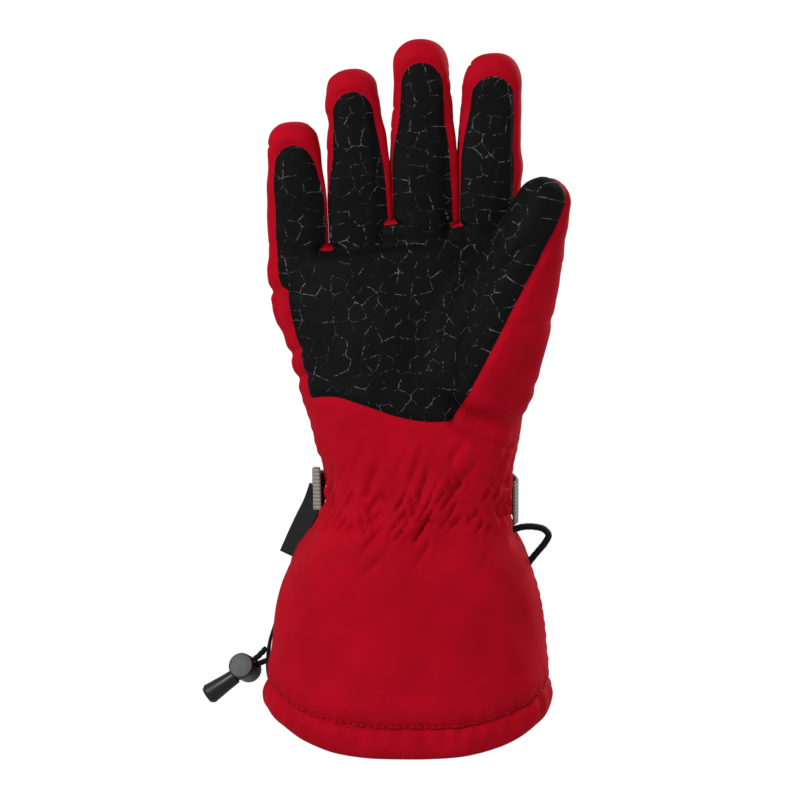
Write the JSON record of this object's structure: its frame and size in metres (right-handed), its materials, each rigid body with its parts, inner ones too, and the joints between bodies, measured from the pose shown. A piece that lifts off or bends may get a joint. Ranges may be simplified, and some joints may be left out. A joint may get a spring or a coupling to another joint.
{
  "type": "ski glove",
  "caption": "Right-hand gauntlet ski glove with grip palm, curling fingers and thumb, wrist strap with release buckle, and hem drawcord with cord lock",
  "frame": {"origin": "middle of the cuff opening, on the plane the hem rests on", "axes": "+Z from the hem to the fingertips, the back of the hand faces -Y, the palm faces +Y, and the thumb is on the -X side"},
  "size_m": [0.1648, 0.0973, 0.3237],
  "materials": {
    "red_softshell": "matte",
    "grip_fabric": "matte",
    "fleece": "matte",
    "black_cord": "matte",
    "black_tape": "matte",
    "elastic": "matte",
    "grey_webbing": "matte",
    "black_plastic": "satin",
    "spring_steel": "satin"
  },
  "bodies": {
    "hand": {"back_lower_panel": "red_softshell", "back_upper_panel": "red_softshell", "buckle_anchor_webbing": "grey_webbing", "buckle_socket": "black_plastic", "drawcord_tab": "black_tape", "gauntlet_lining": "fleece", "gauntlet_palm_panel": "red_softshell", "hand_lining": "fleece", "hang_loop": "black_cord", "hem_band": "red_softshell", "hem_drawcord": "black_cord", "palm_grip_panel": "grip_fabric", "side_label": "black_tape", "slider_anchor_webbing": "grey_webbing", "strap_webbing": "grey_webbing", "thumb_gusset": "grip_fabric", "wrist_elastic": "elastic"},
    "index_base": {"index_back": "red_softshell", "index_fourchettes": "red_softshell", "index_grip": "grip_fabric", "index_lining": "fleece"},
    "index_tip": {"index_tip_wrap": "red_softshell", "index_tip_grip": "grip_fabric", "index_tip_lining": "fleece"},
    "middle_base": {"middle_back": "red_softshell", "middle_fourchettes": "red_softshell", "middle_grip": "grip_fabric", "middle_lining": "fleece"},
    "middle_tip": {"middle_tip_wrap": "red_softshell", "middle_tip_grip": "grip_fabric", "middle_tip_lining": "fleece"},
    "ring_base": {"ring_back": "red_softshell", "ring_fourchettes": "red_softshell", "ring_grip": "grip_fabric", "ring_lining": "fleece"},
    "ring_tip": {"ring_tip_wrap": "red_softshell", "ring_tip_grip": "grip_fabric", "ring_tip_lining": "fleece"},
    "little_base": {"little_back": "red_softshell", "little_fourchettes": "red_softshell", "little_grip": "grip_fabric", "little_lining": "fleece"},
    "little_tip": {"little_tip_wrap": "red_softshell", "little_tip_grip": "grip_fabric", "little_tip_lining": "fleece"},
    "thumb_base": {"thumb_outer_panel": "red_softshell", "thumb_grip": "grip_fabric", "thumb_lining": "fleece"},
    "thumb_tip": {"thumb_tip_outer_panel": "red_softshell", "thumb_tip_grip": "grip_fabric", "thumb_tip_lining": "fleece"},
    "drawcord": {"drawcord_tail": "black_cord", "cord_end": "black_plastic"},
    "cord_lock": {"cord_lock_barrel": "black_plastic", "cord_lock_spring": "spring_steel"},
    "lock_plunger": {"cord_lock_plunger": "black_plastic"},
    "slider": {"ladder_slider": "black_plastic", "strap_tail_loop": "grey_webbing"},
    "clip": {"buckle_clip": "black_plastic", "strap_clip_loop": "grey_webbing"}
  },
  "joints": [
    {"name": "index_curl", "type": "hinge", "parent": "hand", "child": "index_base", "pos_m": [-0.03717, 0.01475, 0.248], "axis": [-0.9999, 0, -0.0105], "range_deg": [0, 50]},
    {"name": "index_tip_curl", "type": "hinge", "parent": "index_base", "child": "index_tip", "pos_m": [-0.03748, 0.01475, 0.2774], "axis": [-0.9999, 0, -0.0105], "range_deg": [0, 50]},
    {"name": "middle_curl", "type": "hinge", "parent": "hand", "child": "middle_base", "pos_m": [-0.00666, 0.01437, 0.252], "axis": [-0.9998, 0, 0.0209], "range_deg": [0, 50]},
    {"name": "middle_tip_curl", "type": "hinge", "parent": "middle_base", "child": "middle_tip", "pos_m": [-0.00603, 0.01437, 0.28223], "axis": [-0.9998, 0, 0.0209], "range_deg": [0, 50]},
    {"name": "ring_curl", "type": "hinge", "parent": "hand", "child": "ring_base", "pos_m": [0.02301, 0.01399, 0.24698], "axis": [-0.9987, 0, 0.0506], "range_deg": [0, 50]},
    {"name": "ring_tip_curl", "type": "hinge", "parent": "ring_base", "child": "ring_tip", "pos_m": [0.02437, 0.01399, 0.27382], "axis": [-0.9987, 0, 0.0506], "range_deg": [0, 50]},
    {"name": "little_curl", "type": "hinge", "parent": "hand", "child": "little_base", "pos_m": [0.05067, 0.01371, 0.23599], "axis": [-0.9991, 0, 0.0419], "range_deg": [0, 50]},
    {"name": "little_tip_curl", "type": "hinge", "parent": "little_base", "child": "little_tip", "pos_m": [0.05157, 0.01371, 0.25739], "axis": [-0.9991, 0, 0.0419], "range_deg": [0, 50]},
    {"name": "thumb_curl", "type": "hinge", "parent": "hand", "child": "thumb_base", "pos_m": [-0.03466, 0.03927, 0.22392], "axis": [-0.4565, 0.8106, -0.3668], "range_deg": [0, 15]},
    {"name": "thumb_tip_curl", "type": "hinge", "parent": "thumb_base", "child": "thumb_tip", "pos_m": [-0.04117, 0.04396, 0.24238], "axis": [-0.4565, 0.8106, -0.3668], "range_deg": [0, 15]},
    {"name": "drawcord_swing", "type": "hinge", "parent": "hand", "child": "drawcord", "pos_m": [0.066, -0.009, 0.038], "axis": [0, -1, 0], "range_deg": [-8, 55]},
    {"name": "cord_lock_slide", "type": "slide", "parent": "drawcord", "child": "cord_lock", "axis": [-0.8192, 0, 0.5736], "range_m": [0, 0.003]},
    {"name": "plunger_press", "type": "slide", "parent": "cord_lock", "child": "lock_plunger", "axis": [0.2424, 0.9063, 0.3462], "range_m": [0, 0.0035], "stiffness_N_per_m": 900, "springref_m": -0.002, "deforming": ["cord_lock_spring"]},
    {"name": "slider_tab_lift", "type": "hinge", "parent": "hand", "child": "slider", "pos_m": [-0.04614, -0.02925, 0.111], "axis": [0, 0, -1], "range_deg": [0, 25]},
    {"name": "buckle_release", "type": "slide", "parent": "hand", "child": "clip", "axis": [-0.9659, -0.2588, 0], "range_m": [0, 0.009]}
  ],
  "couplings": [
    {"joint": "index_tip_curl", "follows": "index_curl", "ratio": 1},
    {"joint": "middle_tip_curl", "follows": "middle_curl", "ratio": 1},
    {"joint": "ring_tip_curl", "follows": "ring_curl", "ratio": 1},
    {"joint": "little_tip_curl", "follows": "little_curl", "ratio": 1},
    {"joint": "thumb_tip_curl", "follows": "thumb_curl", "ratio": 1}
  ]
}
